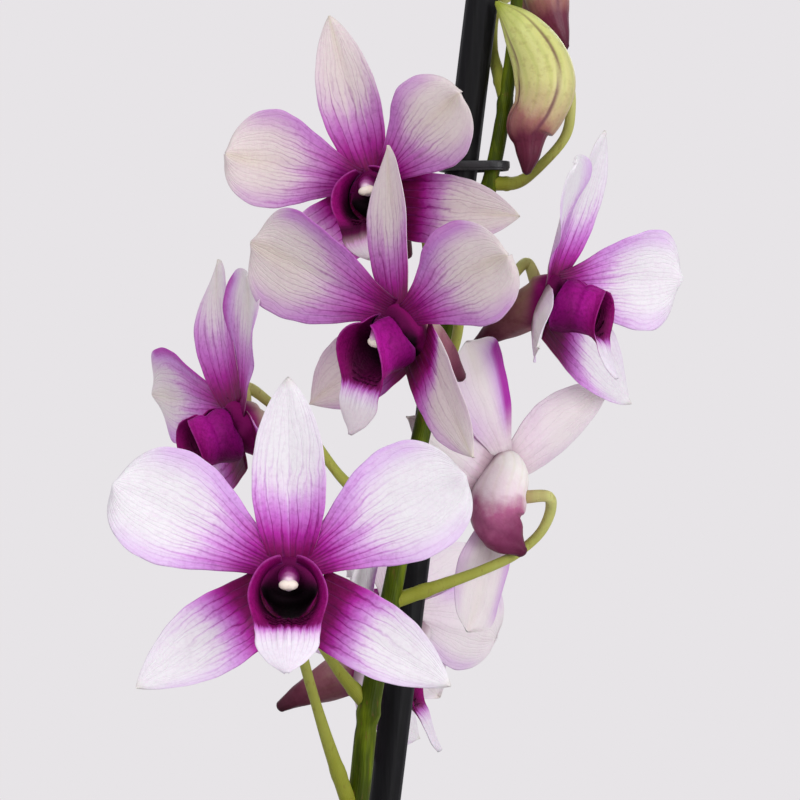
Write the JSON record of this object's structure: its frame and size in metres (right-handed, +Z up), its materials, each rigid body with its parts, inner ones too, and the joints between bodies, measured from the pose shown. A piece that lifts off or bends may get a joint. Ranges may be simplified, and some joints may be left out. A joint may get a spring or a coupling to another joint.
{
  "type": "dendrobium orchid",
  "caption": "Upright dendrobium orchid in a plain clay pot, its flower spike of white and purple blooms clipped to a dark stake.",
  "frame": {"origin": "centre of the pot's flat underside", "axes": "+Z up along the plant; -Y is the side from which the blooms are seen; +X is to the right from there"},
  "size_m": [0.2088, 0.2203, 0.5171],
  "materials": {
    "pot": "matt unglazed clay",
    "bark": "rough bark chips with pale roots",
    "stake": "near-black satin coating",
    "clip": "dark satin plastic",
    "stem": "satin green plant tissue",
    "cane": "ridged green cane with papery sheaths",
    "leaf": "leathery satin green",
    "petal": "soft white to magenta-purple petal with fine veins",
    "lip": "velvety burgundy-purple lip",
    "column": "waxy cream",
    "bud": "satin yellow-green with a purple base"
  },
  "bodies": {
    "root": {"pot": "pot", "bark": "bark", "stake": "stake", "clip": "clip", "flower_spike": "stem", "cane_1": "cane", "cane_2": "cane", "cane_3": "cane", "cane_4": "cane", "leaf_1": "leaf", "leaf_2": "leaf", "leaf_3": "leaf", "leaf_4": "leaf", "leaf_5": "leaf", "leaf_6": "leaf", "leaf_7": "leaf", "leaf_8": "leaf", "leaf_9": "leaf", "leaf_10": "leaf", "leaf_11": "leaf", "leaf_12": "leaf", "bud_1": "bud", "bud_2": "bud", "bud_3": "bud", "bud_4": "bud", "bud_5": "bud", "bud_6": "bud", "bloom_1_tepals": "petal", "bloom_1_lip": "lip", "bloom_1_column": "column", "bloom_2_tepals": "petal", "bloom_2_lip": "lip", "bloom_2_column": "column", "bloom_3_tepals": "petal", "bloom_3_lip": "lip", "bloom_3_column": "column", "bloom_4_tepals": "petal", "bloom_4_lip": "lip", "bloom_4_column": "column", "bloom_5_tepals": "petal", "bloom_5_lip": "lip", "bloom_5_column": "column", "bloom_6_tepals": "petal", "bloom_6_lip": "lip", "bloom_6_column": "column", "bloom_7_tepals": "petal", "bloom_7_lip": "lip", "bloom_7_column": "column", "bloom_8_tepals": "petal", "bloom_8_lip": "lip", "bloom_8_column": "column"}
  },
  "joints": []
}
